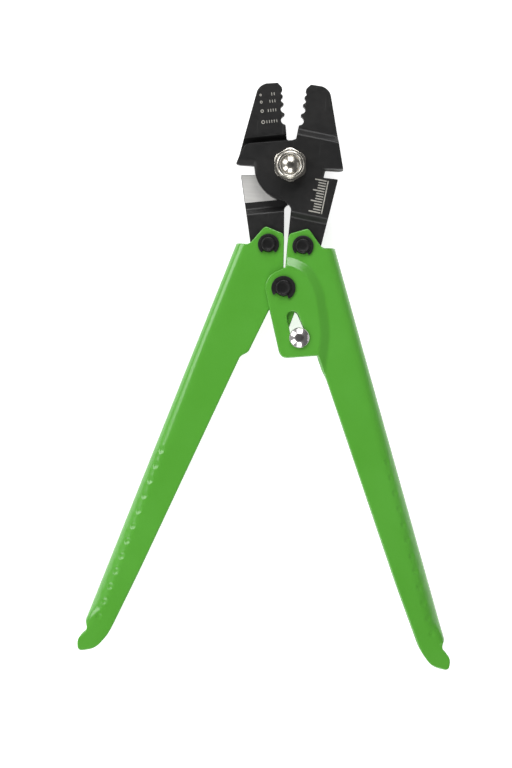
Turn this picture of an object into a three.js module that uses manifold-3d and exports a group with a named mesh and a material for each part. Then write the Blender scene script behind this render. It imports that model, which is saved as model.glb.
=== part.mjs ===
// Compound-lever sleeve crimping plier with a side cutter, lying on its back with the handles fully open.
// Millimetres. X to the right, Y from the grips towards the jaws, Z up.
// The origin is on the jaw pivot's axis, on the outer face of the pivot bolt's head, where the tool rests.

import * as THREE from "three";
import { mergeVertices } from "three/addons/utils/BufferGeometryUtils.js";
import Module from "manifold-3d";

const wasm = await Module();
wasm.setup();

// ---- Driving dimensions ----

// Linkage at rest: the jaw pivot A is at the origin, the toggle pins B and C are mirror images, and D joins
// the two handles.
const TOGGLE_PIN = new THREE.Vector2(7.25, -33.4);
const HANDLE_PIVOT = new THREE.Vector2(0, -51.4);
const JAW_SWING = THREE.MathUtils.degToRad(8.6);

// Jaw plates
const JAW_T = 5;
const LAP_GAP = 0.2;
const RAMP_RUN = 2.2;
const RAMP_SKEW = 2.3;
const UPPER_RAMP_Y = 16;
const LOWER_RAMP_Y = -18.6;
const LAND_GAP = 0.12;
const NESTS = [
  { y: 19.55, r: 1.9 },
  { y: 24.2, r: 1.6 },
  { y: 28, r: 1.1 },
  { y: 31, r: 0.85 },
];
const LAP_R = 15;
const RELIEF_W = 2.7;
const RELIEF_T = 1.2;
const RELIEF_LENGTH = 9;
const RELIEF_START = new THREE.Vector2(-22.9, -4.35);
const WING_LEAN = Math.atan2(1, 6.5);
const ARM_END_R = 6.6;
const PLATE_SEGMENTS = 5;

// Pivot bolt and lock nut, M8
const BOLT_R = 4;
const HEX_ACROSS = 13;
const BOLT_HEAD_H = 5.3;
const BOLT_TIP_STEP = 0.3;
const BOLT_TIP_RISE = 0.2;
const BOLT_TIP_DOME = 1;
const HEX_CHAMFER = 0.2;
const NUT_HEX_H = 5.6;
const NUT_H = 8;
const CROWN_R = 5.75;
const CROWN_BORE_R = 5.05;
const CROWN_LIP_R = 4.45;
const CROWN_LIP_T = 0.6;
const CROWN_CHAMFER = 0.6;
const CROWN_EDGE_H = 0.7;
const INSERT_H = 1.6;
const NUT_TURN = THREE.MathUtils.degToRad(3);

// Handles: pressed channels with a round spine on the outside and an open inner side
const WALL = 1.5;
const HEAD_HALF = 4.3;
const GRIP_HALF = 6.2;
const SPINE_TOP = new THREE.Vector2(20.7, -33.3);
const SPINE_END = new THREE.Vector2(75.3, -194.2);
const TAPER_START = 46;
const TAPER_END = 150;
const SLAB_REACH = 70;
const SPINE_LEAD = 10;
const SPINE_STEPS = 12;
const TIP_REACH = 25;
const TIP_OVERHANG = 12;
const TIP_OVERLAP = 0.5;
const LOBE_LIFT = 1.8;
const LOBE_SLOPE = 3.7;
const LOBE_R = 7.6;
const LEFT_BOSS_R = 8.6;
const LOBE_BOSS_STEPS = 9;
const LEFT_BOSS_STEPS = 12;

// Pins, retaining clips and the sliding lock stud
const TOGGLE_PIN_R = 3;
const HANDLE_PIN_R = 3.25;
const TOGGLE_CLIP_R = 4.5;
const HANDLE_CLIP_R = 5.1;
const CLIP_OPENING = THREE.MathUtils.degToRad(40);
const CLIP_BORE_GAP = 0.1;
const CLIP_SEGMENTS = 12;
const CLIP_T = 0.7;
const CLIP_GAP = 0.2;
const PIN_STICKOUT = 0.75;
const PIN_CHAMFER = 0.4;
const GROOVE_DEPTH = 0.7;
const STUD_R = 2;
const STUD_HEAD_R = 4.3;
const STUD_HEAD_H = 2.4;
const STUD_RIM_H = 0.6;
const RIVET_STEP = 0.6;
const RIVET_LENGTH = 1.6;
const RIVET_END_GAP = 0.1;
const CAP_GAP = 0.02;
const SLOT_ANGLE = THREE.MathUtils.degToRad(20.8);
const SLOT_NEAR = 12.8;
const SLOT_FAR = 21.9;
const SLOT_HALF = 2.45;
const SLOT_FAR_HALF = 3.3;
const SLOT_SEGMENTS = 10;

// Running clearance of a pin in its hole, and the larger one of the right jaw on its toggle pin
const RUNNING = 0.09;
const OPEN_PIVOT = 0.45;
const AXIAL_GAP = 0.1;

// Segments of a full turn, and a length that reaches past everything
const ROUND = 24;
const FAR = 120;
const OVERSHOOT = 1;
const MERGE_TOLERANCE = 1e-4;
const MID_Z = BOLT_HEAD_H + AXIAL_GAP + JAW_T + LAP_GAP / 2;

// ---- Solids ----

function toSolid(geometry) {
  geometry.deleteAttribute("normal");
  geometry.deleteAttribute("uv");
  const merged = mergeVertices(geometry, MERGE_TOLERANCE);
  const index = Array.from(merged.index.array);
  const triVerts = [];
  for (let i = 0; i < index.length; i += 3) {
    const [a, b, c] = index.slice(i, i + 3);
    if (a !== b && b !== c && c !== a) triVerts.push(a, b, c);
  }
  const mesh = new wasm.Mesh({
    numProp: 3,
    vertProperties: new Float32Array(merged.attributes.position.array),
    triVerts: new Uint32Array(triVerts),
  });
  return new wasm.Manifold(mesh);
}

function toGeometry(solid) {
  const mesh = solid.getMesh();
  const geometry = new THREE.BufferGeometry();
  geometry.setAttribute("position", new THREE.BufferAttribute(new Float32Array(mesh.vertProperties), 3));
  geometry.setIndex(new THREE.BufferAttribute(new Uint32Array(mesh.triVerts), 1));
  geometry.computeVertexNormals();
  return geometry;
}

// A closed outline from corners [x, y, radius]: each corner with a radius is rounded by a curve.
function roundedShape(corners) {
  const shape = new THREE.Shape();
  corners.forEach(([x, y, radius = 0], i) => {
    const corner = new THREE.Vector2(x, y);
    const before = new THREE.Vector2(...corners.at(i - 1)).sub(corner);
    const after = new THREE.Vector2(...corners[(i + 1) % corners.length]).sub(corner);
    const start = corner.clone().addScaledVector(before.normalize(), radius);
    const end = corner.clone().addScaledVector(after.normalize(), radius);
    if (i === 0) shape.moveTo(start.x, start.y);
    else shape.lineTo(start.x, start.y);
    if (radius > 0) shape.quadraticCurveTo(x, y, end.x, end.y);
  });
  shape.closePath();
  return shape;
}

function prism(shape, bottom, top, curveSegments = 4) {
  const depth = top - bottom;
  const geometry = new THREE.ExtrudeGeometry(shape, { depth, bevelEnabled: false, curveSegments });
  return toSolid(geometry.translate(0, 0, bottom));
}

// A body of revolution about a line parallel to Z through (x, y), from profile points [radius, z].
function turned(profile, x = 0, y = 0, segments = ROUND) {
  const points = profile.map(([r, z]) => new THREE.Vector2(r, z));
  const geometry = new THREE.LatheGeometry(points, segments);
  return toSolid(geometry.rotateX(Math.PI / 2).translate(x, y, 0));
}

function rod(radius, bottom, top, x = 0, y = 0) {
  return turned([[0, bottom], [radius, bottom], [radius, top], [0, top]], x, y);
}

function mesh(name, solid, material) {
  const part = new THREE.Mesh(toGeometry(solid), material);
  part.name = name;
  return part;
}

function basis(x, y, z) {
  const columns = [x, y, z].map((axis) => new THREE.Vector3(...axis));
  return new THREE.Matrix4().makeBasis(...columns);
}

// ---- Jaws ----

// The toggle pin's place when the jaws are closed
function closedTogglePin() {
  return TOGGLE_PIN.clone().rotateAround(new THREE.Vector2(), JAW_SWING);
}

// Plan of a jaw plate, drawn closed and for the right-hand side: the lands lie on X = LAND_GAP, the lap's
// cutting wing reaches across to the left, and the arm runs down to the toggle pin.
function jawShape() {
  const pin = closedTogglePin();
  const shape = new THREE.Shape();
  shape.moveTo(LAND_GAP, 17.5);
  for (const nest of NESTS) {
    const half = Math.acos(LAND_GAP / nest.r);
    shape.absarc(0, nest.y, nest.r, -half, half, false);
  }
  shape.lineTo(LAND_GAP, 33.4);
  shape.lineTo(1.7, 35.5);
  shape.lineTo(6.6, 35.7);
  shape.quadraticCurveTo(10.3, 35, 11.3, 31.6);
  shape.lineTo(18.1, 14.6);
  shape.lineTo(22.2, 3.1);
  shape.lineTo(13.9, 1.7);
  shape.lineTo(14.6, -2.1);
  shape.lineTo(20.9, -1.5);
  shape.lineTo(19.7, pin.y + 2);
  shape.absarc(pin.x, pin.y, ARM_END_R, 0, -Math.PI, true);
  shape.lineTo(4.3, -18.4);
  shape.quadraticCurveTo(3.9, -16, 1.8, -15.8);
  shape.absarc(0, 0, LAP_R, -1.48, -2.94, true);
  shape.lineTo(-20.6, -4);
  shape.lineTo(-22.4, -3.7);
  shape.lineTo(-22.3, -2.6);
  shape.lineTo(-21.4, 1.1);
  shape.quadraticCurveTo(-20.7, 4.8, -18.6, 5.8);
  shape.lineTo(-3.9, 10.1);
  shape.lineTo(-1.3, 10.7);
  shape.lineTo(LAND_GAP + 0.1, 11.6);
  shape.closePath();
  return shape;
}

// Side view of the joggled plate: the jaw and the arm are on the tool's middle plane, and the lap is lifted
// by half a thickness, so that two such plates lie face to face.
function joggleShape() {
  const half = JAW_T / 2;
  const lift = (JAW_T + LAP_GAP) / 2;
  const corners = [
    [FAR, -half],
    [UPPER_RAMP_Y - RAMP_SKEW, -half],
    [UPPER_RAMP_Y - RAMP_SKEW - RAMP_RUN, lift - half],
    [LOWER_RAMP_Y + RAMP_SKEW, lift - half],
    [LOWER_RAMP_Y + RAMP_SKEW - RAMP_RUN, -half],
    [-FAR, -half],
    [-FAR, half],
    [LOWER_RAMP_Y - RAMP_RUN, half],
    [LOWER_RAMP_Y, lift + half],
    [UPPER_RAMP_Y - RAMP_RUN, lift + half],
    [UPPER_RAMP_Y, half],
    [FAR, half],
  ];
  return roundedShape(corners);
}

// The relief ground along the wing's lower edge, on the lap's outer face
function wingRelief() {
  const face = JAW_T + LAP_GAP / 2;
  const section = roundedShape([
    [-OVERSHOOT, face + LAP_GAP],
    [RELIEF_W, face + LAP_GAP],
    [RELIEF_W, face],
    [0, face - RELIEF_T],
    [-OVERSHOOT, face - RELIEF_T],
  ]);
  const cutter = new THREE.ExtrudeGeometry(section, { depth: RELIEF_LENGTH, bevelEnabled: false });
  cutter.applyMatrix4(basis([0, 1, 0], [0, 0, 1], [1, 0, 0]));
  cutter.rotateZ(WING_LEAN);
  return toSolid(cutter.translate(RELIEF_START.x, RELIEF_START.y, 0));
}

// A jaw plate, closed, with its lap on the upper side
function jaw(pinClearance) {
  const pin = closedTogglePin();
  const side = new THREE.ExtrudeGeometry(joggleShape(), { depth: 2 * FAR, bevelEnabled: false });
  side.applyMatrix4(basis([0, 1, 0], [0, 0, 1], [1, 0, 0])).translate(-FAR, 0, 0);
  return prism(jawShape(), -FAR, FAR, PLATE_SEGMENTS)
    .intersect(toSolid(side))
    .subtract(wingRelief())
    .subtract(rod(BOLT_R + RUNNING, -FAR, FAR))
    .subtract(rod(TOGGLE_PIN_R + pinClearance, -FAR, FAR, pin.x, pin.y));
}

// ---- Pivot bolt and lock nut ----

function hexagon(across, bottom, top, chamfer) {
  const corner = across / Math.sqrt(3);
  const edge = across / 2 - chamfer;
  const rise = (corner - edge) * Math.tan(Math.PI / 6);
  const plan = new THREE.Shape();
  for (let i = 0; i < 6; i += 1) {
    const angle = Math.PI / 2 + (i * Math.PI) / 3;
    if (i === 0) plan.moveTo(corner * Math.cos(angle), corner * Math.sin(angle));
    else plan.lineTo(corner * Math.cos(angle), corner * Math.sin(angle));
  }
  const cone = turned([
    [0, bottom],
    [edge, bottom],
    [corner, bottom + rise],
    [corner, top - rise],
    [edge, top],
    [0, top],
  ]);
  return prism(plan, bottom, top).intersect(cone);
}

// Profile points of a shallow dome from its rim to the axis
function dome(radius, base, height, steps = 5) {
  return Array.from({ length: steps + 1 }, (_, i) => {
    const angle = (i / steps) * (Math.PI / 2);
    return [i === steps ? 0 : radius * Math.cos(angle), base + height * Math.sin(angle)];
  });
}

function pivotBolt() {
  const under = BOLT_HEAD_H;
  const tip = nutBottom() + NUT_H;
  const head = hexagon(HEX_ACROSS, 0, under, HEX_CHAMFER);
  const shank = turned([
    [0, under - OVERSHOOT],
    [BOLT_R, under - OVERSHOOT],
    [BOLT_R, tip],
    ...dome(BOLT_R - BOLT_TIP_STEP, tip + BOLT_TIP_RISE, BOLT_TIP_DOME),
  ]);
  return head.add(shank);
}

function nutBottom() {
  return MID_Z + LAP_GAP / 2 + JAW_T + AXIAL_GAP;
}

function pivotNut() {
  const bottom = nutBottom();
  const hexTop = bottom + NUT_HEX_H;
  const top = bottom + NUT_H;
  const crown = turned([
    [0, bottom + OVERSHOOT],
    [CROWN_R, bottom + OVERSHOOT],
    [CROWN_R, top - CROWN_EDGE_H],
    [CROWN_R - CROWN_CHAMFER, top],
    [0, top],
  ]);
  const recess = rod(CROWN_BORE_R, hexTop, top - CROWN_LIP_T);
  return hexagon(HEX_ACROSS, bottom, hexTop, HEX_CHAMFER)
    .add(crown)
    .subtract(rod(BOLT_R + RUNNING, bottom - OVERSHOOT, top + OVERSHOOT))
    .subtract(rod(CROWN_LIP_R, hexTop, top + OVERSHOOT))
    .subtract(recess);
}

function lockInsert() {
  const bottom = nutBottom() + NUT_HEX_H + AXIAL_GAP;
  const ring = rod(CROWN_BORE_R - AXIAL_GAP, bottom, bottom + INSERT_H);
  return ring.subtract(rod(BOLT_R + RUNNING, bottom - OVERSHOOT, bottom + INSERT_H + OVERSHOOT));
}

// ---- Handles ----

const spineAlong = SPINE_END.clone().sub(SPINE_TOP).normalize();
const spineInward = new THREE.Vector2(spineAlong.y, -spineAlong.x);
const spineLength = SPINE_END.distanceTo(SPINE_TOP);

// The half depth of the channel at stations along its outer edge: [distance from the head end, half depth]
const STATIONS = [
  [-SPINE_LEAD, HEAD_HALF],
  [TAPER_START, HEAD_HALF],
  [TAPER_END, GRIP_HALF],
  [spineLength, GRIP_HALF],
];

// A filled section of the channel, as points: round at the outer edge, then flat and parallel inwards
function channelSection([along, half], inset) {
  const radius = half - inset;
  const profile = [];
  for (let i = 0; i <= SPINE_STEPS; i += 1) {
    const angle = Math.PI / 2 + (i * Math.PI) / SPINE_STEPS;
    profile.push([half + radius * Math.cos(angle), radius * Math.sin(angle)]);
  }
  profile.push([SLAB_REACH, -radius], [SLAB_REACH, radius]);
  return profile.map(([inward, z]) => {
    const edge = SPINE_TOP.clone().addScaledVector(spineAlong, along).addScaledVector(spineInward, inward);
    return [edge.x, edge.y, z];
  });
}

// Beyond the spine's end, the two walls run on as flat plates into the hook.
function hookSlab(inset) {
  const half = GRIP_HALF - inset;
  const reach = TIP_OVERHANG + SLAB_REACH;
  const geometry = new THREE.BoxGeometry(TIP_REACH + TIP_OVERLAP, 2 * half, reach);
  const inward = [spineInward.x, spineInward.y, 0];
  geometry.applyMatrix4(basis([spineAlong.x, spineAlong.y, 0], [0, 0, 1], inward));
  const centre = SPINE_TOP.clone()
    .addScaledVector(spineAlong, spineLength + (TIP_REACH - TIP_OVERLAP) / 2)
    .addScaledVector(spineInward, reach / 2 - TIP_OVERHANG);
  return toSolid(geometry.translate(centre.x, centre.y, 0));
}

function channelBody(inset) {
  let body = hookSlab(inset);
  STATIONS.slice(1).forEach((station, i) => {
    const ends = [...channelSection(STATIONS[i], inset), ...channelSection(station, inset)];
    body = body.add(wasm.Manifold.hull(ends));
  });
  return body;
}

// The raised lobe with which the right handle clasps the left one: full height inside, sloping outwards
function lobeBody(inset) {
  const outline = roundedShape([
    [-30, -37.2],
    [3.5, -38.3, 3],
    [11, -41.5, 4],
    [16.5, -50, 5],
    [19.2, -61, 5],
    [20.4, -70, 3],
    [19, -95],
    [-30, -95],
  ]);
  const half = HEAD_HALF - inset;
  const geometry = new THREE.ExtrudeGeometry(outline, {
    depth: 2 * half,
    bevelEnabled: true,
    bevelThickness: LOBE_LIFT,
    bevelSize: LOBE_SLOPE,
    bevelOffset: -LOBE_SLOPE,
    bevelSegments: 1,
    curveSegments: 3,
  });
  return toSolid(geometry.translate(0, 0, -half));
}

// Both handles share these corners, here for the right one: the ear over the jaw's arm, the outer edge, the
// finger notch and hook at the grip's end, and the inner edge up to the step.
const EAR_CORNERS = [
  [0.8, -30.3, 0.6],
  [1.5, -28.4, 0.6],
  [9.1, -25.7, 1.4],
  [15.4, -33.7, 1.6],
  [20.7, -33.3],
];
const GRIP_CORNERS = [
  [75.6, -195.1, 0.8],
  [74.4, -198.8, 1.8],
  [78.4, -202.6, 2.2],
  [78, -208, 2.4],
  [70.6, -206.5, 3],
  [65.6, -200.4, 3],
  [54.1, -173.4, 6],
];

// Corners along a boss's round edge about the handle pivot, from one angle to another in degrees
function bossCorners(radius, from, to, steps) {
  return Array.from({ length: steps + 1 }, (_, i) => {
    const angle = THREE.MathUtils.degToRad(from + ((to - from) * i) / steps);
    return [HANDLE_PIVOT.x + radius * Math.cos(angle), HANDLE_PIVOT.y + radius * Math.sin(angle)];
  });
}

function rightHandleShape() {
  return roundedShape([
    ...EAR_CORNERS,
    ...GRIP_CORNERS,
    [18.6, -84.8, 2],
    [16.2, -78.9, 0.8],
    [0.4, -80.9, 3.4],
    ...bossCorners(LOBE_R, 196, 112, LOBE_BOSS_STEPS),
    [0.4, -42.6],
  ]);
}

// The left handle, mirrored: inside the right handle's lobe it ends in a round boss and a finger that hooks
// over the lock stud when the tool is closed.
function leftHandleShape() {
  return roundedShape([
    ...EAR_CORNERS,
    ...GRIP_CORNERS,
    [16.6, -80.9, 1],
    [13.2, -78.8, 1],
    [5, -59.5, 2],
    [-1.5, -59.5, 2],
    [1.9, -70.4, 1.3],
    [-2.5, -70.2, 1.3],
    ...bossCorners(LEFT_BOSS_R, 218, 90, LEFT_BOSS_STEPS),
    [0.4, -42.7],
  ]);
}

function handleSlot() {
  const shape = new THREE.Shape();
  const lean = Math.asin((SLOT_FAR_HALF - SLOT_HALF) / (SLOT_FAR - SLOT_NEAR));
  shape.absarc(0, -SLOT_NEAR, SLOT_HALF, lean, Math.PI - lean, false);
  shape.absarc(0, -SLOT_FAR, SLOT_FAR_HALF, Math.PI - lean, 2 * Math.PI + lean, false);
  shape.closePath();
  return prism(shape, -FAR, FAR, SLOT_SEGMENTS)
    .rotate([0, 0, THREE.MathUtils.radToDeg(SLOT_ANGLE)])
    .translate([HANDLE_PIVOT.x, HANDLE_PIVOT.y, 0]);
}

function drilled(solid) {
  return solid
    .subtract(rod(TOGGLE_PIN_R + RUNNING, -FAR, FAR, TOGGLE_PIN.x, TOGGLE_PIN.y))
    .subtract(rod(HANDLE_PIN_R + RUNNING, -FAR, FAR, HANDLE_PIVOT.x, HANDLE_PIVOT.y));
}

function rightHandle() {
  const outside = channelBody(0).add(lobeBody(0));
  const inside = channelBody(WALL).add(lobeBody(WALL));
  const walls = outside.subtract(inside).intersect(prism(rightHandleShape(), -FAR, FAR));
  return drilled(walls).subtract(handleSlot());
}

function leftHandle() {
  const walls = channelBody(0).subtract(channelBody(WALL)).intersect(prism(leftHandleShape(), -FAR, FAR));
  return drilled(walls).mirror([1, 0, 0]);
}

// ---- Pins, clips and the lock stud ----

// A pin with a clip groove near each end; `face` is the height of the wall that the clips sit on.
function groovedPin(radius, face) {
  const low = face + CLIP_GAP / 2;
  const high = face + CLIP_T + CLIP_GAP * 1.5;
  const end = high + PIN_STICKOUT;
  const groove = radius - GROOVE_DEPTH;
  const upper = [
    [radius, low],
    [groove, low],
    [groove, high],
    [radius, high],
    [radius, end - PIN_CHAMFER],
    [radius - PIN_CHAMFER, end],
    [0, end],
  ];
  const lower = upper.map(([r, z]) => [r, -z]).reverse();
  return turned([...lower, ...upper]);
}

// A retaining clip: a flat spring ring, open on its lower side
function retainingClip(pinRadius, outer) {
  const bore = pinRadius - GROOVE_DEPTH + CLIP_BORE_GAP;
  const from = CLIP_OPENING - Math.PI / 2;
  const to = 1.5 * Math.PI - CLIP_OPENING;
  const shape = new THREE.Shape();
  shape.absarc(0, 0, outer, from, to, false);
  shape.absarc(0, 0, bore, to, from, true);
  shape.closePath();
  return prism(shape, -CLIP_T / 2, CLIP_T / 2, CLIP_SEGMENTS);
}

function lockStud() {
  const face = HEAD_HALF + LOBE_LIFT + CLIP_GAP;
  const rivet = STUD_R - RIVET_STEP;
  return turned([
    [0, -face - RIVET_LENGTH],
    [rivet, -face - RIVET_LENGTH],
    [rivet, -face],
    [STUD_R, -face],
    [STUD_R, face],
    [STUD_HEAD_R, face],
    ...dome(STUD_HEAD_R, face + STUD_RIM_H, STUD_HEAD_H - STUD_RIM_H),
  ]);
}

function lockStudCap() {
  const face = HEAD_HALF + LOBE_LIFT + CLIP_GAP;
  const rivet = STUD_R - RIVET_STEP + RUNNING;
  const bottom = -face - RIVET_LENGTH - RIVET_END_GAP;
  const outside = dome(STUD_HEAD_R, -face - STUD_RIM_H, STUD_RIM_H - STUD_HEAD_H).reverse();
  return turned([
    ...outside,
    [STUD_HEAD_R, -face - CAP_GAP],
    [rivet, -face - CAP_GAP],
    [rivet, bottom],
    [0, bottom],
  ]);
}

// ---- Materials ----

const blackSteel = new THREE.MeshStandardMaterial({ color: 0x262626, roughness: 0.45, metalness: 0.7 });
const greenCoat = new THREE.MeshStandardMaterial({ color: 0x4fa533, roughness: 0.42, metalness: 0.05 });
const bluedSteel = new THREE.MeshStandardMaterial({ color: 0x161618, roughness: 0.38, metalness: 0.8 });
const platedSteel = new THREE.MeshStandardMaterial({ color: 0xd0ccc4, roughness: 0.2, metalness: 1 });
const nylon = new THREE.MeshStandardMaterial({ color: 0xe6e4dc, roughness: 0.6, metalness: 0 });

// ---- Assembly ----

const plier = new THREE.Group();
const middle = new THREE.Group();
middle.position.z = MID_Z;
plier.add(middle);

const rightJaw = mesh("right_jaw", jaw(OPEN_PIVOT), blackSteel);
rightJaw.rotation.z = -JAW_SWING;
middle.add(rightJaw);

const leftJaw = mesh("left_jaw", jaw(RUNNING), blackSteel);
leftJaw.rotation.set(0, Math.PI, -JAW_SWING);
middle.add(leftJaw);

plier.add(mesh("pivot_bolt", pivotBolt(), platedSteel));
const nut = new THREE.Group();
nut.rotation.z = NUT_TURN;
nut.add(mesh("pivot_nut", pivotNut(), platedSteel));
nut.add(mesh("nut_lock_insert", lockInsert(), nylon));
plier.add(nut);

middle.add(mesh("right_handle", rightHandle(), greenCoat));
middle.add(mesh("left_handle", leftHandle(), greenCoat));

const toggle = { r: TOGGLE_PIN_R, clip: TOGGLE_CLIP_R, face: HEAD_HALF };
const hinge = { r: HANDLE_PIN_R, clip: HANDLE_CLIP_R, face: HEAD_HALF + LOBE_LIFT };
const pins = [
  { name: "left_toggle", x: -TOGGLE_PIN.x, y: TOGGLE_PIN.y, turn: 3, ...toggle },
  { name: "right_toggle", x: TOGGLE_PIN.x, y: TOGGLE_PIN.y, turn: -4, ...toggle },
  { name: "handle_pivot", x: HANDLE_PIVOT.x, y: HANDLE_PIVOT.y, turn: -11, ...hinge },
];
for (const pin of pins) {
  const solid = mesh(`${pin.name}_pin`, groovedPin(pin.r, pin.face), bluedSteel);
  solid.position.set(pin.x, pin.y, 0);
  middle.add(solid);
  const sides = { front: 1, rear: -1 };
  for (const [side, sign] of Object.entries(sides)) {
    const clip = mesh(`${pin.name}_clip_${side}`, retainingClip(pin.r, pin.clip), bluedSteel);
    clip.position.set(pin.x, pin.y, sign * (pin.face + CLIP_GAP + CLIP_T / 2));
    clip.rotation.z = THREE.MathUtils.degToRad(pin.turn);
    middle.add(clip);
  }
}

const stud = new THREE.Group();
stud.position.set(
  HANDLE_PIVOT.x + SLOT_FAR * Math.sin(SLOT_ANGLE),
  HANDLE_PIVOT.y - SLOT_FAR * Math.cos(SLOT_ANGLE),
  0,
);
stud.add(mesh("lock_stud", lockStud(), platedSteel));
stud.add(mesh("lock_stud_cap", lockStudCap(), platedSteel));
middle.add(stud);

export default plier;
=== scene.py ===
"""A compound-lever sleeve crimping plier, lying open on a pale floor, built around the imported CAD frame.

Plan coordinates and sizes are in millimetres, in the CAD frame, until a mesh is made.
"""

import math

import bmesh
import bpy
import numpy as np
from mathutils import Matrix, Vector, geometry


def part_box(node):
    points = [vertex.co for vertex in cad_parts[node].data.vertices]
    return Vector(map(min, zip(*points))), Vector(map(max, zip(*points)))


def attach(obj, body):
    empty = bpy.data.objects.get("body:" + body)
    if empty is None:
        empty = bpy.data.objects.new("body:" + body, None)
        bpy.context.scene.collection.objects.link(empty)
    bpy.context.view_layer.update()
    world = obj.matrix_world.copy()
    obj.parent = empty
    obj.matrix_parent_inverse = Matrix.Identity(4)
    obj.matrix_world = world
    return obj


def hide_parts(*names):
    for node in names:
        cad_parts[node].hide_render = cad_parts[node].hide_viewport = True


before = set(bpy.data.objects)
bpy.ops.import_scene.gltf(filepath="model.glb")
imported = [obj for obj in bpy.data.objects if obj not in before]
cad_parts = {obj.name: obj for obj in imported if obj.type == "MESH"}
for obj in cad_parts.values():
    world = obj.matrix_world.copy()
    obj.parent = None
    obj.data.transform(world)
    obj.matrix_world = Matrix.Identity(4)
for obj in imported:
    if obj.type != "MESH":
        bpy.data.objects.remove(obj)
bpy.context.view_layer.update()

MM = 0.001
RUNNING = 0.09  # radial clearance of a working pivot
OPEN_PIVOT = 0.45  # radial clearance where the linkage is left open
BOLT_R, TOGGLE_R, PIVOT_R = 4.0, 3.0, 3.25
MESH_SPACING = 1.7  # on the flat parts of a plate


def centre(node):
    """Middle of a CAD node's box, in millimetres."""
    low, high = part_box(node)
    return (np.array(low) + np.array(high)) / (2 * MM)


HANDLE_PIVOT = centre("handle_pivot_pin")
LEFT_PIN = centre("left_toggle_pin")
RIGHT_PIN = centre("right_toggle_pin")
STUD = centre("lock_stud")
MID_Z = HANDLE_PIVOT[2]

# ---- Plane geometry ----


def unit(v):
    return v / np.maximum(np.linalg.norm(v, axis=-1, keepdims=True), 1e-9)


def arc(cx, cy, radius, start, end, step=6):
    """Points of an arc between two angles in degrees, a point every `step` degrees or closer."""
    count = max(2, math.ceil(abs(end - start) / step) + 1)
    angles = np.radians(np.linspace(start, end, count))
    return [(cx + radius * math.cos(a), cy + radius * math.sin(a)) for a in angles]


def curve(p0, p1, p2, count=6):
    """Points of a quadratic curve, without its first point."""
    p0, p1, p2 = (np.array(p, float) for p in (p0, p1, p2))
    t = np.linspace(0, 1, count + 1)[1:, None]
    return [tuple(p) for p in (1 - t) ** 2 * p0 + 2 * t * (1 - t) * p1 + t**2 * p2]


def rounded(corners, count):
    """A closed outline from corners (x, y) or (x, y, radius), with `count` points round each curve."""
    points = []
    for i, corner in enumerate(corners):
        here = np.array(corner[:2], float)
        radius = corner[2] if len(corner) > 2 else 0
        if radius == 0:
            points.append(tuple(here))
            continue
        before = unit(np.array(corners[i - 1][:2], float) - here) * radius
        after = unit(np.array(corners[(i + 1) % len(corners)][:2], float) - here) * radius
        points.append(tuple(here + before))
        points += curve(here + before, here, here + after, count)
    return np.array(points)


def clean(points, least=0.02):
    """The loop without points that repeat."""
    keep = np.linalg.norm(points - np.roll(points, 1, 0), axis=1) > least
    return points[keep]


def softened(points, spread, spacing=0.12):
    """The closed loop with every corner rounded over about `spread`, thinned where it is straight."""
    points = clean(np.array(points, float))
    gaps = np.linalg.norm(np.roll(points, -1, 0) - points, axis=1)
    length = np.concatenate([[0], np.cumsum(gaps)])
    count = round(length[-1] / spacing)
    at = np.arange(count) * length[-1] / count
    closed = np.vstack([points, points[:1]])
    dense = np.column_stack([np.interp(at, length, closed[:, k]) for k in (0, 1)])
    reach = math.ceil(3 * spread / spacing)
    offsets = np.arange(-reach, reach + 1)
    weights = np.exp(-0.5 * (offsets * spacing / spread) ** 2)
    smooth_loop = sum(w * np.roll(dense, k, 0) for w, k in zip(weights, offsets)) / weights.sum()
    out, heading = [smooth_loop[0]], None
    for a, b in zip(smooth_loop[1:], np.roll(smooth_loop, -1, 0)[1:]):
        step = math.atan2(*(b - a)[::-1])
        turned = 0 if heading is None else (step - heading + math.pi) % (2 * math.pi) - math.pi
        if heading is None or abs(turned) > math.radians(9):
            out.append(a)
            heading = step
    return np.array(out)


def refined(points, spacing):
    """The closed loop with points added so that no gap is wider than `spacing`."""
    out = []
    for a, b in zip(points, np.roll(points, -1, 0)):
        count = max(1, math.ceil(np.linalg.norm(b - a) / spacing))
        out += [a + (b - a) * k / count for k in range(count)]
    return np.array(out)


def crossed(points, rows, least=0.16):
    """The closed loop with points added where it crosses the lines Y = row, and crowded ones dropped."""
    out, fixed = [], []
    for a, b in zip(points, np.roll(points, -1, 0)):
        out.append(a)
        fixed.append(bool(np.min(np.abs(rows - a[1])) < 1e-6))
        if abs(b[1] - a[1]) < 1e-6:
            continue
        for t in sorted((row - a[1]) / (b[1] - a[1]) for row in rows):
            if 0 < t < 1:
                out.append(a + (b - a) * t)
                fixed.append(True)
    out = np.array(out)
    near = np.linalg.norm(out - np.roll(out, 1, 0), axis=1) < least
    near |= np.linalg.norm(out - np.roll(out, -1, 0), axis=1) < least
    crowded = near & ~np.array(fixed)
    crowded &= ~np.roll(crowded, 1) | np.roll(fixed, -1)
    return clean(out[~crowded], 0.03)


def signed_area(points):
    x, y = points[:, 0], points[:, 1]
    return 0.5 * np.sum(x * np.roll(y, -1) - np.roll(x, -1) * y)


def turning(points, anticlockwise):
    """The loop in the direction asked for."""
    return points if (signed_area(points) > 0) == anticlockwise else points[::-1]


def inside(points, loop):
    """Which points lie inside the closed loop."""
    result = np.zeros(len(points), bool)
    for a, b in zip(loop, np.roll(loop, -1, 0)):
        crosses = (a[1] > points[:, 1]) != (b[1] > points[:, 1])
        if crosses.any():
            x = a[0] + (points[:, 1] - a[1]) * (b[0] - a[0]) / ((b[1] - a[1]) or 1e-12)
            result ^= crosses & (points[:, 0] < x)
    return result


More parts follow.
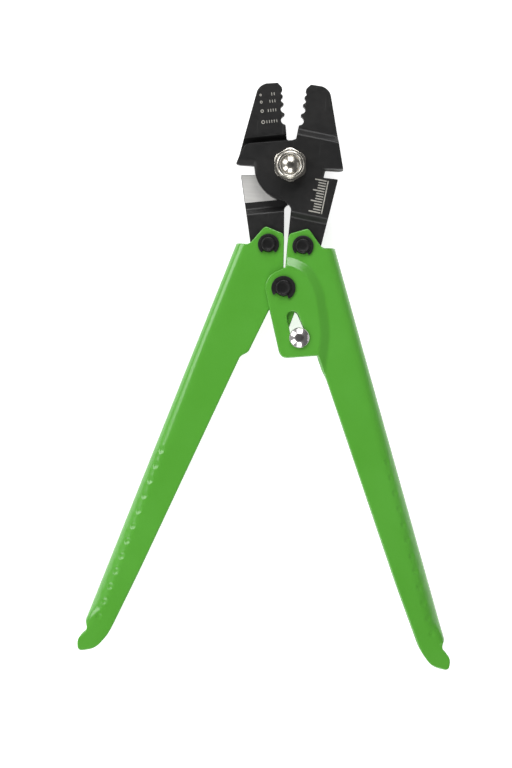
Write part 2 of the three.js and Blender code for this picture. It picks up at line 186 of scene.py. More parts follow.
def distance(points, loop):
    """Distance from each point to the closed loop."""
    best = np.full(len(points), 1e9)
    for a, b in zip(loop, np.roll(loop, -1, 0)):
        d = b - a
        t = np.clip(((points - a) @ d) / max(d @ d, 1e-12), 0, 1)
        best = np.minimum(best, np.linalg.norm(points - a - t[:, None] * d, axis=1))
    return best


def inset(points, depth):
    """The loop moved to its left by `depth`. The reach at sharp corners is limited."""
    a, b = unit(points - np.roll(points, 1, 0)), unit(np.roll(points, -1, 0) - points)
    left = np.column_stack([-a[:, 1], a[:, 0]])
    normal = unit(left + np.column_stack([-b[:, 1], b[:, 0]]))
    grow = np.maximum(np.sum(normal * left, axis=1, keepdims=True), 0.6)
    return points + normal * depth / grow


def grid(low, high, spacing):
    """A staggered grid of points over a box."""
    rows = np.arange(low[1], high[1], spacing * 0.866)
    points = []
    for k, y in enumerate(rows):
        xs = np.arange(low[0] + (k % 2) * spacing / 2, high[0], spacing)
        points += [(x, y) for x in xs]
    return np.array(points)


def seeded(candidates, loops, margin):
    """The candidate points that lie on the material, at least `margin` from its edges."""
    keep = inside(candidates, loops[0])
    for loop in loops[1:]:
        keep &= ~inside(candidates, loop)
    candidates = candidates[keep]
    for loop in loops:
        candidates = candidates[distance(candidates, loop) > margin]
    return candidates


def triangles(loops, seeds):
    """Triangles over the material, as indices into the loops' points followed by the seeds."""
    points = np.vstack([*loops, seeds])
    edges, start = [], 0
    for loop in loops:
        count = len(loop)
        edges += [(start + i, start + (i + 1) % count) for i in range(count)]
        start += count
    flat = [Vector(p) for p in points]
    _, _, faces, origins, _, _ = geometry.delaunay_2d_cdt(flat, edges, [], 1, 1e-6)
    known = [face for face in faces if all(origins[v] for v in face)]
    faces = np.array([[origins[v][0] for v in face] for face in known])
    middles = points[faces].mean(axis=1)
    keep = inside(middles, loops[0])
    for loop in loops[1:]:
        keep &= ~inside(middles, loop)
    return faces[keep]


# ---- Meshes and pieces ----


def piece(name, verts, faces, materials, zones, body, node, sharp):
    """Makes one piece from points in millimetres and puts it on its body, in place of a CAD node."""
    data = bpy.data.meshes.new(name)
    data.from_pydata([tuple(v) for v in np.asarray(verts) * MM], [], [tuple(f) for f in faces])
    for material in materials:
        data.materials.append(material)
    if zones is not None:
        data.polygons.foreach_set("material_index", np.asarray(zones, np.int32))
    data.polygons.foreach_set("use_smooth", np.ones(len(data.polygons), bool))
    work = bmesh.new()
    work.from_mesh(data)
    bmesh.ops.recalc_face_normals(work, faces=work.faces)
    work.to_mesh(data)
    work.free()
    data.set_sharp_from_angle(angle=math.radians(sharp))
    made = bpy.data.objects.new(name, data)
    bpy.context.scene.collection.objects.link(made)
    weighted = made.modifiers.new("even_normals", "WEIGHTED_NORMAL")
    weighted.keep_sharp = True
    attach(made, body)
    if node:
        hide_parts(node)


def plate(loops, seeds, place, rim_top, rim_bottom, steps=3):
    """A sheet with rounded rims. `place(points, level, drop)` gives the 3-D points of plan points on the
    top (level 0) or the bottom (level 1) surface, sunk into the sheet by `drop`. Returns the points, the
    faces and a tag for each face: its level, or 2 on a rim."""
    angles = np.radians(np.linspace(0, 90, steps + 1))
    verts, faces, tags = [], [], []
    ring_index = {}
    count = 0

    def add(points):
        nonlocal count
        verts.append(points)
        count += len(points)
        return count - len(points)

    for level, rim in ((0, rim_top), (1, rim_bottom)):
        for k, a in enumerate(angles):
            shrink, drop = rim * (1 - math.cos(a)), rim * (1 - math.sin(a))
            for j, loop in enumerate(loops):
                moved = inset(loop, shrink)
                ring_index[level, k, j] = add(place(moved, level, np.full(len(moved), drop)))
    seed_index = [add(place(seeds, level, np.zeros(len(seeds)))) for level in (0, 1)]

    def strip(a, b, size, flip):
        for i in range(size):
            n = (i + 1) % size
            quad = (a + i, a + n, b + n, b + i)
            faces.append(quad[::-1] if flip else quad)
            tags.append(2)

    for j, loop in enumerate(loops):
        size = len(loop)
        strip(ring_index[1, 0, j], ring_index[0, 0, j], size, False)
        for k in range(steps):
            strip(ring_index[0, k, j], ring_index[0, k + 1, j], size, False)
            strip(ring_index[1, k, j], ring_index[1, k + 1, j], size, True)
    inner = [inset(loop, max(rim_top, rim_bottom)) for loop in loops]
    cap = triangles(inner, seeds)
    for level in (0, 1):
        parts = [(ring_index[level, steps, j], len(loop)) for j, loop in enumerate(loops)]
        parts.append((seed_index[level], len(seeds)))
        lookup = np.concatenate([np.arange(first, first + size) for first, size in parts])
        mapped = lookup[cap] if level == 0 else lookup[cap][:, ::-1]
        faces += [tuple(f) for f in mapped]
        tags += [level] * len(mapped)
    return np.vstack(verts), faces, np.array(tags)


HEX_ROUND, HEX_BLUNT = 6.95, 0.75  # beyond this radius, corners keep a quarter of their reach


def revolved(profile, segments, hexagon=None, turn=0):
    """A body of revolution. Profile points are (radius, z). A point (None, z, side) follows the hexagon,
    given as (apothem, cone radius, cone lean), and drops by its chamfer cone on the side 1 (top) or -1."""
    angles = np.linspace(0, 2 * math.pi, segments, endpoint=False)
    verts, faces, rings = [], [], []
    for entry in profile:
        radius, z = entry[0], entry[1]
        if radius == 0:
            rings.append([len(verts)])
            verts.append((0, 0, z))
            continue
        ring = []
        for a in angles:
            r, height = radius, z
            if radius is None:
                apothem, cone, lean = hexagon
                off = (a + math.pi / 6) % (math.pi / 3) - math.pi / 6
                r = apothem / math.cos(off)
                r -= max(r - HEX_ROUND, 0) * HEX_BLUNT
                height = z - entry[2] * (r - cone) * math.tan(lean)
            ring.append(len(verts))
            verts.append((r * math.cos(a + turn), r * math.sin(a + turn), height))
        rings.append(ring)
    for a, b in zip(rings, rings[1:]):
        for i in range(segments):
            n = (i + 1) % segments
            quad = [a[i % len(a)], a[n % len(a)], b[n % len(b)], b[i % len(b)]]
            faces.append(tuple(dict.fromkeys(quad)))
    if len(rings[0]) > 1 and len(rings[-1]) > 1:
        a, b = rings[-1], rings[0]
        for i in range(segments):
            n = (i + 1) % segments
            faces.append((a[i], a[n], b[n], b[i]))
    return np.array(verts, float), faces


def cap_profile(radius, low, high, steps):
    """Profile points of a spherical cap from its rim to the axis."""
    rise = high - low
    ball = (radius**2 + rise**2) / (2 * rise)
    tilt = math.asin(radius / ball)
    angles = np.linspace(tilt, 0, steps + 1)
    return [(ball * math.sin(a) if a > 0 else 0, high - ball * (1 - math.cos(a))) for a in angles]


def edge_round(r, z, radius, steps):
    """Profile points of a rounded corner, from the side up onto the top face."""
    angles = np.radians(np.linspace(0, 90, steps + 1))
    return [(r - radius + radius * math.cos(a), z - radius + radius * math.sin(a)) for a in angles]


# ---- Materials ----


def new_material(name):
    made = bpy.data.materials.new(name)
    made.use_nodes = True
    tree = made.node_tree
    return made, tree, tree.nodes["Principled BSDF"]


def node(tree, kind, inputs=None, **settings):
    """A new node. Each input is a value or the socket to link to it."""
    made = tree.nodes.new(kind)
    for key, value in settings.items():
        setattr(made, key, value)
    for key, value in (inputs or {}).items():
        if isinstance(value, bpy.types.NodeSocket):
            tree.links.new(value, made.inputs[key])
        else:
            made.inputs[key].default_value = value
    return made


def noise(tree, scale, detail, stretch=(1, 1, 1), rough=0.5):
    """A noise pattern in object space. The scale is in cells for each metre."""
    place = node(tree, "ShaderNodeTexCoord").outputs["Object"]
    place = node(tree, "ShaderNodeMapping", {"Vector": place, "Scale": stretch}).outputs["Vector"]
    inputs = {"Vector": place, "Scale": scale, "Detail": detail, "Roughness": rough}
    return node(tree, "ShaderNodeTexNoise", inputs).outputs["Fac"]


def remap(tree, value, low, high, to_low=0.0, to_high=1.0):
    inputs = {"Value": value, "From Min": low, "From Max": high, "To Min": to_low, "To Max": to_high}
    return node(tree, "ShaderNodeMapRange", inputs).outputs["Result"]


def mixed(tree, factor, a, b):
    made = node(tree, "ShaderNodeMix", data_type="RGBA")
    for socket, value in ((made.inputs[0], factor), (made.inputs[6], a), (made.inputs[7], b)):
        if isinstance(value, bpy.types.NodeSocket):
            tree.links.new(value, socket)
        else:
            socket.default_value = value
    return made.outputs[2]


def product(tree, a, b):
    return node(tree, "ShaderNodeMath", {0: a, 1: b}, operation="MULTIPLY").outputs[0]


def bumped(tree, shader, heights):
    """Stacks bumps, each (pattern, depth in metres, strength), on the shader's normal."""
    normal = None
    for pattern, depth, strength in heights:
        made = node(tree, "ShaderNodeBump", {"Height": pattern, "Distance": depth, "Strength": strength})
        if normal is not None:
            tree.links.new(normal, made.inputs["Normal"])
        normal = made.outputs["Normal"]
    tree.links.new(normal, shader.inputs["Normal"])


def rubbed_edges(tree, low, high):
    """How worn each point is: strong on convex edges, broken up by noise."""
    shape = node(tree, "ShaderNodeNewGeometry").outputs["Pointiness"]
    return product(tree, remap(tree, shape, low, high), remap(tree, noise(tree, 420, 4), 0.42, 0.62))


def powder_coat():
    made, tree, shader = new_material("green_powder_coat")
    cloud = remap(tree, noise(tree, 38, 3), 0.3, 0.7)
    speck = remap(tree, noise(tree, 2600, 2), 0.25, 0.75)
    base = mixed(tree, cloud, (0.076, 0.315, 0.026, 1), (0.088, 0.342, 0.035, 1))
    fine = mixed(tree, product(tree, speck, 0.25), base, (0.10, 0.40, 0.045, 1))
    wear = product(tree, rubbed_edges(tree, 0.53, 0.60), 0.35)
    worn = mixed(tree, wear, fine, (0.20, 0.52, 0.13, 1))
    tree.links.new(worn, shader.inputs["Base Color"])
    tree.links.new(remap(tree, noise(tree, 300, 4), 0.2, 0.8, 0.16, 0.26), shader.inputs["Roughness"])
    shader.inputs["IOR"].default_value = 1.6
    ripple, grain = noise(tree, 700, 2), noise(tree, 3200, 2)
    bumped(tree, shader, [(ripple, 0.00004, 0.22), (grain, 0.00001, 0.2)])
    return made


def black_oxide(name, tone, roughness, edges=True):
    """Blackened steel. Its wear is on the edges, or in small spots on the small round parts."""
    made, tree, shader = new_material(name)
    cloud = remap(tree, noise(tree, 60, 4), 0.3, 0.7)
    dark = (tone * 0.8, tone * 0.8, tone * 0.82, 1)
    light = (tone * 1.25, tone * 1.22, tone * 1.2, 1)
    base = mixed(tree, cloud, dark, light)
    scratch = remap(tree, noise(tree, 700, 3, (1, 0.06, 1)), 0.66, 0.74)
    marked = mixed(tree, product(tree, scratch, 0.18), base, (0.10, 0.10, 0.10, 1))
    if edges:
        wear = rubbed_edges(tree, 0.54, 0.62)
    else:
        wear = remap(tree, noise(tree, 900, 4), 0.66, 0.78)
    worn = mixed(tree, product(tree, wear, 0.5), marked, (0.16, 0.155, 0.15, 1))
    tree.links.new(worn, shader.inputs["Base Color"])
    shader.inputs["Metallic"].default_value = 0.35
    spread = remap(tree, noise(tree, 480, 4), 0.2, 0.8, roughness - 0.07, roughness + 0.07)
    tree.links.new(spread, shader.inputs["Roughness"])
    pits, grain = noise(tree, 1800, 3), noise(tree, 5200, 2)
    bumped(tree, shader, [(pits, 0.00002, 0.35), (grain, 0.00001, 0.3)])
    return made


def brushed_steel():
    made, tree, shader = new_material("ground_steel")
    lines = noise(tree, 500, 5, (0.05, 1, 1), 0.7)
    cloud = noise(tree, 90, 3)
    streaks = remap(tree, lines, 0.3, 0.7)
    base = mixed(tree, streaks, (0.50, 0.50, 0.48, 1), (0.68, 0.67, 0.65, 1))
    patches = product(tree, remap(tree, cloud, 0.35, 0.7), 0.4)
    tinted = mixed(tree, patches, base, (0.72, 0.71, 0.69, 1))
    tree.links.new(tinted, shader.inputs["Base Color"])
    shader.inputs["Metallic"].default_value = 0.45
    tree.links.new(remap(tree, lines, 0.2, 0.8, 0.38, 0.55), shader.inputs["Roughness"])
    bumped(tree, shader, [(lines, 0.00002, 0.5)])
    return made


def bright_plate(name, tone, roughness, grain):
    made, tree, shader = new_material(name)
    cloud = remap(tree, noise(tree, 140, 3), 0.3, 0.7)
    dim = tuple(c * 0.86 for c in tone) + (1,)
    base = mixed(tree, cloud, dim, (*tone, 1))
    grime = product(tree, remap(tree, noise(tree, 800, 4), 0.60, 0.74), 0.35)
    tree.links.new(mixed(tree, grime, base, (0.34, 0.32, 0.29, 1)), shader.inputs["Base Color"])
    shader.inputs["Metallic"].default_value = 1
    spread = remap(tree, noise(tree, 600, 4), 0.2, 0.8, roughness * 0.75, roughness * 1.35)
    tree.links.new(spread, shader.inputs["Roughness"])
    bumped(tree, shader, [(noise(tree, 2400, 3), 0.00001, grain)])
    return made


def plain_polymer():
    made, tree, shader = new_material("nylon_ring")
    cloud = remap(tree, noise(tree, 260, 3), 0.3, 0.7)
    base = mixed(tree, cloud, (0.70, 0.68, 0.62, 1), (0.80, 0.79, 0.74, 1))
    tree.links.new(base, shader.inputs["Base Color"])
    spread = remap(tree, noise(tree, 900, 2), 0.2, 0.8, 0.45, 0.6)
    tree.links.new(spread, shader.inputs["Roughness"])
    shader.inputs["Subsurface Weight"].default_value = 0.15
    shader.inputs["Subsurface Radius"].default_value = (0.0006, 0.0005, 0.0004)
    bumped(tree, shader, [(noise(tree, 1500, 2), 0.00001, 0.3)])
    return made


def etched_mark():
    made, tree, shader = new_material("etched_mark")
    grain = remap(tree, noise(tree, 2600, 3), 0.3, 0.7)
    base = mixed(tree, grain, (0.26, 0.25, 0.22, 1), (0.46, 0.45, 0.41, 1))
    tree.links.new(base, shader.inputs["Base Color"])
    tree.links.new(remap(tree, grain, 0, 1, 0.5, 0.7), shader.inputs["Roughness"])
    bumped(tree, shader, [(noise(tree, 4000, 2), 0.00001, 0.4)])
    return made


def pale_floor():
    """A pale floor that glows a little, like a light table, which keeps shadows as faint as the photo's."""
    made, tree, shader = new_material("studio_floor")
    cloud = remap(tree, noise(tree, 3, 2), 0.3, 0.7)
    base = mixed(tree, cloud, (0.58, 0.58, 0.58, 1), (0.61, 0.61, 0.61, 1))
    tree.links.new(base, shader.inputs["Base Color"])
    shader.inputs["Emission Color"].default_value = (1, 1, 1, 1)
    shader.inputs["Emission Strength"].default_value = 0.78
    shader.inputs["Roughness"].default_value = 0.9
    shader.inputs["Specular IOR Level"].default_value = 0.1
    bumped(tree, shader, [(noise(tree, 400, 2), 0.00002, 0.1)])
    return made


GREEN = powder_coat()
JAW_BLACK = black_oxide("jaw_black_oxide", 0.016, 0.42)
PIN_BLACK = black_oxide("pin_black_oxide", 0.012, 0.34, edges=False)
CLIP_BLACK = black_oxide("clip_black_oxide", 0.009, 0.46, edges=False)
GROUND = brushed_steel()
NUT_PLATE = bright_plate("nickel_plate", (0.60, 0.57, 0.51), 0.19, 0.35)
STUD_PLATE = bright_plate("polished_plate", (0.86, 0.83, 0.83), 0.12, 0.15)
NYLON = plain_polymer()
MARK = etched_mark()

# ---- Jaws ----

JAW_SWING = math.radians(8.6)
JAW_T = 5.0
JAW_RIM = 0.16
LIFT = 2.6  # half of the lap's step
LAND_GAP = 0.12
# Each nest's distance from the jaw pivot and its radius
NESTS = ((19.55, 1.9), (24.2, 1.6), (28.0, 1.1), (31.0, 0.85))
# Where the top and bottom faces step up, then down again
TOP_RAMPS = ((-20.8, -18.6), (13.8, 16.0))
BOTTOM_RAMPS = ((-18.5, -16.3), (11.5, 13.7))
BEND = 0.5
GROUND_EDGE = -13.4
LAP_R = 15.0
RELIEF = {"start": (-22.9, -4.35), "lean": math.atan2(1, 6.5), "width": 2.7, "depth": 0.75, "length": 9.0}


def swung(points, angle):
    """Plan points turned anticlockwise about the origin."""
    c, s = math.cos(angle), math.sin(angle)
    points = np.asarray(points, float)
    return points @ np.array([[c, s], [-s, c]])


CLOSED_PIN = swung(RIGHT_PIN[:2], JAW_SWING)


def jaw_outline():
    """Plan of a jaw plate, closed, for the right-hand side."""
    px, py = CLOSED_PIN
    points = [(LAND_GAP, 17.5)]
    for y, r in NESTS:
        half = math.degrees(math.acos(LAND_GAP / r))
        points += arc(0, y, r, -half, half, 12)
    points += [(LAND_GAP, 33.4), (1.7, 35.5), (6.6, 35.7)]
    points += curve((6.6, 35.7), (10.3, 35), (11.3, 31.6))
    points += [(18.1, 14.6), (22.2, 3.1), (13.9, 1.7), (14.6, -2.1), (20.9, -1.5), (19.7, py + 2)]
    points += arc(px, py, 6.6, 0, -180)
    points += [(4.3, -18.4)] + curve((4.3, -18.4), (3.9, -16), (1.8, -15.8))
    points += arc(0, 0, LAP_R, math.degrees(-1.48), math.degrees(-2.94), 3)
    points += [(-20.6, -4), (-22.4, -3.7), (-22.3, -2.6), (-21.4, 1.1)]
    points += curve((-21.4, 1.1), (-20.7, 4.8), (-18.6, 5.8))
    points += [(-3.9, 10.1), (-1.3, 10.7), (LAND_GAP + 0.1, 11.6)]
    return turning(softened(points, 0.3), True)


def soft_ramp(y, low, high):
    """0 below `low`, 1 above `high`, with both corners rounded."""

    def bend(u):
        return np.where(u < -BEND, 0, np.where(u > BEND, u, (u + BEND) ** 2 / (4 * BEND)))

    return (bend(y - low) - bend(y - high)) / (high - low)


def joggle(y, ramps):
    (a, b), (c, d) = ramps
    return LIFT * soft_ramp(y, a, b) * (1 - soft_ramp(y, c, d))


def relief(points):
    """How far the wing's lower edge is ground away."""
    local = swung(points - np.array(RELIEF["start"]), -RELIEF["lean"])
    across = np.clip(1 - local[:, 1] / RELIEF["width"], 0, 1)
    ends = np.clip((RELIEF["length"] - local[:, 0]) / 0.6, 0, 1) * (local[:, 0] > -3)
    return RELIEF["depth"] * across * ends


def jaw(name, node_name, body, side, clearance):
    """A joggled jaw plate. Side 1 is the right-hand one and side -1 is the same plate turned over. Returns
    its `place` function, for the marks."""

    def place(points, level, drop):
        y = points[:, 1]
        if level == 0:
            z = JAW_T / 2 + joggle(y, TOP_RAMPS) - relief(points) - drop
        else:
            z = -JAW_T / 2 + joggle(y, BOTTOM_RAMPS) + drop
        open_plan = swung(points, -JAW_SWING)
        return np.column_stack([side * open_plan[:, 0], open_plan[:, 1], MID_Z + side * z])

    corners = [y for ramp in (*TOP_RAMPS, *BOTTOM_RAMPS) for y in ramp]
    shifts = (-BEND, -BEND / 2, 0, BEND / 2, BEND)
    rows = sorted({round(y + d, 3) for y in corners for d in shifts} | {GROUND_EDGE})
    rows = [y for i, y in enumerate(rows) if i == 0 or y - rows[i - 1] > 0.12]
    bolt_hole = arc(0, 0, BOLT_R + RUNNING, 0, -352, 8)
    pin_hole = arc(*CLOSED_PIN, TOGGLE_R + clearance, 0, -350, 10)
    loops = [crossed(refined(jaw_outline(), 1.2), np.array(rows))]
    loops += [turning(np.array(hole), False) for hole in (bolt_hole, pin_hole)]
    low, high = loops[0].min(0), loops[0].max(0)
    field = grid(low, high, MESH_SPACING)
    field = field[np.min(np.abs(field[:, 1:] - np.array(rows)), axis=1) > 0.55]
    lines = np.array([(x, y) for y in rows for x in np.arange(low[0], high[0], 1.3)])
    fine = grid((-23.5, -5), (-13.4, 1), 0.55)
    field = field[(field[:, 0] > -13) | (field[:, 1] > 1.4) | (field[:, 1] < -5.5)]
    seeds = seeded(np.vstack([field, lines, fine]), loops, 0.55)
    verts, faces, tags = plate(loops, seeds, place, JAW_RIM, JAW_RIM)
    local = np.column_stack([side * verts[:, 0], verts[:, 1]])
    local = swung(local, JAW_SWING)
    middles = np.array([local[list(f)].mean(0) for f in faces])
    mating = (tags == 1) & (middles[:, 1] > GROUND_EDGE) & (middles[:, 1] < 3)
    zones = mating.astype(int)
    piece(name, verts, faces, [JAW_BLACK, GROUND], zones, body, node_name, sharp=50)
    return place


left_place = jaw("left_jaw_plate", "left_jaw", "left_jaw", -1, RUNNING)
right_place = jaw("right_jaw_plate", "right_jaw", "right_jaw", 1, OPEN_PIVOT)


def marks(name, shapes, place, level, body):
    """Shallow raised marks on a jaw: each shape is a closed outline, with an optional hole."""
    verts, faces = [], []
    for loops in shapes:
        count = len(loops[0])
        base = len(verts)
        rings = []
        for loop in loops:
            shrunk = inset(loop, 0.05)
            for outline, drop in ((loop, 0.02), (loop, -0.02), (shrunk, -0.05)):
                rings.append(place(outline, level, np.full(count, drop)))
        for ring in rings:
            verts += [tuple(v) for v in ring]
        for i in range(count):
            n = (i + 1) % count
            for k in range(len(rings)):
                if k % 3 == 2:
                    continue
                a, b = base + k * count, base + (k + 1) * count
                faces.append((a + i, a + n, b + n, b + i))
            if len(loops) == 2:
                a, b = base + 2 * count, base + 5 * count
                faces.append((a + i, a + n, b + n, b + i))
                a, b = base, base + 3 * count
                faces.append((a + i, a + n, b + n, b + i))
        if len(loops) == 1:
            faces.append(tuple(base + 2 * count + i for i in range(count)))
            faces.append(tuple(base + i for i in range(count))[::-1])
    piece(name, verts, faces, [MARK], None, body, None, sharp=30)


def bar(x0, y0, x1, y1):
    """A short bar with rounded ends, as a closed outline."""
    corners = [(x0, y0, 0.08), (x1, y0, 0.08), (x1, y1, 0.08), (x0, y1, 0.08)]
    return turning(rounded(corners, 3), True)


def ring(x, y, radius, width):
    """An annulus as two loops of equal length."""
    outer = np.array(arc(x, y, radius, 0, 345, 15))
    inner = np.array(arc(x, y, radius - width, 0, 345, 15))
    return [turning(outer, True), inner]


def size_marks():
    """One row beside each nest: a ring as wide as the row's rank, then as many ticks as the rank."""
    shapes = []
    for rank, (y, _) in enumerate(reversed(NESTS), 1):
        shapes.append(ring(9.4, y, 0.42 + 0.09 * rank, 0.26))
        for k in range(rank + 1):
            x = 3.5 + 1.05 * k
            shapes.append([bar(x, y - 0.62, x + 0.3, y + 0.62)])
    return shapes


def scale_marks():
    """A plain graduated scale along the right jaw's arm."""
    shapes = [[bar(16.75, -17.2, 17.25, -3.0)]]
    for k in range(13):
        y = -17.1 + k * 1.13
        reach = 4.9 if k % 4 == 0 else 3.2
        shapes.append([bar(16.35 - reach, y, 16.35, y + 0.5)])
    return shapes


marks("left_jaw_size_marks", size_marks(), left_place, 1, "left_jaw")
marks("right_jaw_scale_marks", scale_marks(), right_place, 0, "right_jaw")

# ---- Handles ----

WALL = 1.5
SHEET_RIM, INNER_RIM = 0.42, 0.25
HEAD_HALF, GRIP_HALF = 4.3, 6.2
TAPER = (46.0, 150.0)
# Distances along the spine: where the round channel starts to square up, where its plates part, and how
# long each change takes
SQUARING, SQUARING_LENGTH = 163, 8
PARTING, PARTING_LENGTH = 172, 4
SPINE_TOP, SPINE_END = np.array([20.7, -33.3]), np.array([75.3, -194.2])
ALONG = unit(SPINE_END - SPINE_TOP)
INWARD = np.array([ALONG[1], -ALONG[0]])
SPINE_LENGTH = float(np.linalg.norm(SPINE_END - SPINE_TOP))
BACK = 8.0  # distance round the channel from the spine's outermost line to the flat wall
LOBE_LIFT, LOBE_SLOPE, LOBE_SOFT = 1.8, 3.7, 0.7
SLOT_ANGLE = math.radians(20.8)
# The slot's two ends: distance from the handle pivot and radius
SLOT = ((12.8, 2.45), (21.9, 3.3))
EAR = [(0.8, -30.3, 0.6), (1.5, -28.4, 0.6), (9.1, -25.7, 1.4), (15.4, -33.7, 1.6), (20.7, -33.3)]
GRIP = [
    (75.6, -195.1, 0.8),
    (74.4, -198.8, 1.8),
    (78.4, -202.6, 2.2),
    (78, -208, 2.4),
    (70.6, -206.5, 3),
    (65.6, -200.4, 3),
    (54.1, -173.4, 6),
]
LOBE = rounded(
    [
        (-30, -37.2),
        (3.5, -38.3, 3),
        (11, -41.5, 4),
        (16.5, -50, 5),
        (19.2, -61, 5),
        (20.4, -70, 3),
        (19, -95),
        (-30, -95),
    ],
    10,
)
DIMPLES = 12
DIMPLE_SPAN = (92.5, 167.0)  # along the spine, first and last
DIMPLE_ACROSS = (6.1, 6.7)  # round the channel, first and last
DIMPLE_SIZE = (1.8, 1.3)
DIMPLE_DEPTH = 0.28


def half_depth(s):
    """Half the channel's depth at a distance along the spine."""
    t = np.clip((s - TAPER[0]) / (TAPER[1] - TAPER[0]), 0, 1)
    return HEAD_HALF + (GRIP_HALF - HEAD_HALF) * t


def smooth(t):
    t = np.clip(t, 0, 1)
    return t * t * (3 - 2 * t)


def to_pattern(points, side):
    """Plan points to the flat pattern: (distance along the spine, distance round the channel). Side 1 is the
    front wall and -1 the rear one; the spine's outermost line is at 0."""
    offset = np.asarray(points, float) - SPINE_TOP
    s, e = offset @ ALONG, offset @ INWARD
    h = half_depth(s)
    shallow = np.clip(e, 0.0, None)
    angle = np.arccos(np.clip(1 - shallow / h, -1, 1))
    q = np.where(shallow < h, BACK * angle / (math.pi / 2), BACK + shallow - h)
    return np.column_stack([s, side * q])


def lobe_depth(plan):
    """How far plan points lie inside the lobe's outline."""
    return distance(plan, LOBE) * np.where(inside(plan, LOBE), 1, -1)


def lobe_lift(plan):
    """How far the lobe raises the sheet, with both bends of its slope rounded."""
    depth = lobe_depth(plan)

    def bend(u):
        curved = (u + LOBE_SOFT) ** 2 / (4 * LOBE_SOFT)
        return np.where(u < -LOBE_SOFT, 0, np.where(u > LOBE_SOFT, u, curved))

    return LOBE_LIFT * (bend(depth) - bend(depth - LOBE_SLOPE)) / LOBE_SLOPE


def channel_surface(pattern, lobed):
    """The channel's outer surface: plan point and height above the middle plane."""
    s, q = pattern[:, 0], np.abs(pattern[:, 1])
    side = np.where(pattern[:, 1] < 0, -1.0, 1.0)
    h = half_depth(s)
    angle = np.clip(q / BACK, 0, 1) * math.pi / 2
    e = np.where(q < BACK, h * (1 - np.cos(angle)), h + q - BACK)
    power = 2 + 3 * smooth((s - SQUARING) / SQUARING_LENGTH)
    square = (1 - np.clip(1 - e / h, 0, 1) ** power) ** (1 / power)
    height = h * (square + (1 - square) * smooth((s - PARTING) / PARTING_LENGTH))
    plan = SPINE_TOP + s[:, None] * ALONG + e[:, None] * INWARD
    if lobed:
        height = height + lobe_lift(plan) * (q > BACK * 0.6)
    return np.column_stack([plan, side * height])


def dimple_centres():
    """The dimples' places in the flat pattern, on the front wall."""
    return np.column_stack([np.linspace(*ends, DIMPLES) for ends in (DIMPLE_SPAN, DIMPLE_ACROSS)])


def dimple_reach(pattern):
    """Distance to the nearest dimple's centre, with 1 at its edge."""
    folded = np.column_stack([pattern[:, 0], np.abs(pattern[:, 1])])
    scaled = [np.linalg.norm((folded - at) / DIMPLE_SIZE, axis=1) for at in dimple_centres()]
    return np.min(scaled, axis=0)


def dimple_depth(pattern):
    return DIMPLE_DEPTH * np.clip(1 - dimple_reach(pattern) ** 2, 0, 1) ** 1.5


def dimple_seeds():
    """Rings of mesh points in and round every dimple."""
    points = []
    for at in dimple_centres():
        for k, reach in enumerate((0, 0.24, 0.44, 0.62, 0.78, 0.92, 1.06, 1.24)):
            angles = np.radians(np.arange(16 if reach else 1) * 22.5 + (k % 2) * 11.25)
            circle = np.column_stack([np.cos(angles), np.sin(angles)])
            points.append(at + reach * circle * DIMPLE_SIZE)
    points = np.vstack(points)
    return np.vstack([points, points * (1, -1)])


def near_lobe(pattern):
    """Which pattern points lie on or beside the lobe's slope."""
    depth = lobe_depth(channel_surface(pattern, False)[:, :2])
    return (depth > -1.3) & (depth < LOBE_SLOPE + 1.3) & (pattern[:, 0] < 62)


def lobe_seeds():
    """Rows of mesh points that follow the lobe's slope."""
    base = turning(refined(LOBE, 0.8), True)
    bend = np.array([-0.9, -0.65, -0.4, -0.2, 0, 0.2, 0.4, 0.65, 0.9])
    rows = [inset(base, d) for d in (*bend, 1.4, 1.85, 2.3, *(LOBE_SLOPE + bend))]
    plan = np.vstack(rows)
    plan = plan[plan[:, 0] > -9]
    return np.vstack([to_pattern(plan, 1), to_pattern(plan, -1)])


def channel_core(pattern):
    """The nearest point inside the channel, for telling outwards from inwards."""
    s, q = pattern[:, 0], np.abs(pattern[:, 1])
    h = half_depth(s)
    e = np.where(q < BACK, h, h + q - BACK)
    plan = SPINE_TOP + s[:, None] * ALONG + e[:, None] * INWARD
    return np.column_stack([plan, np.zeros(len(pattern))])


def sheet_place(lobed, mirror):
    """A `place` function for the pressed sheet: sinks points into it along the surface normal."""
    step = 0.05

    def slope(pattern, shift):
        return channel_surface(pattern + shift, lobed) - channel_surface(pattern - shift, lobed)

    def place(pattern, level, drop):
        at = channel_surface(pattern, lobed)
        normal = unit(np.cross(slope(pattern, (step, 0)), slope(pattern, (0, step))))
        outward = np.sign(np.sum(normal * (at - channel_core(pattern)), axis=1, keepdims=True))
        normal = normal * np.where(outward == 0, 1, outward)
        sunk = (drop if level == 0 else WALL - drop) + dimple_depth(pattern)
        moved = at - normal * sunk[:, None]
        return np.column_stack([mirror * moved[:, 0], moved[:, 1], MID_Z + moved[:, 2]])

    return place


def slot_outline():
    """The lock stud's slot in the right handle, in plan."""
    (near, near_half), (far, far_half) = SLOT
    lean = math.degrees(math.asin((far_half - near_half) / (far - near)))
    points = arc(0, -near, near_half, lean, 180 - lean, 10)
    points += arc(0, -far, far_half, 180 - lean, 360 + lean, 10)
    return swung(points, SLOT_ANGLE) + HANDLE_PIVOT[:2]


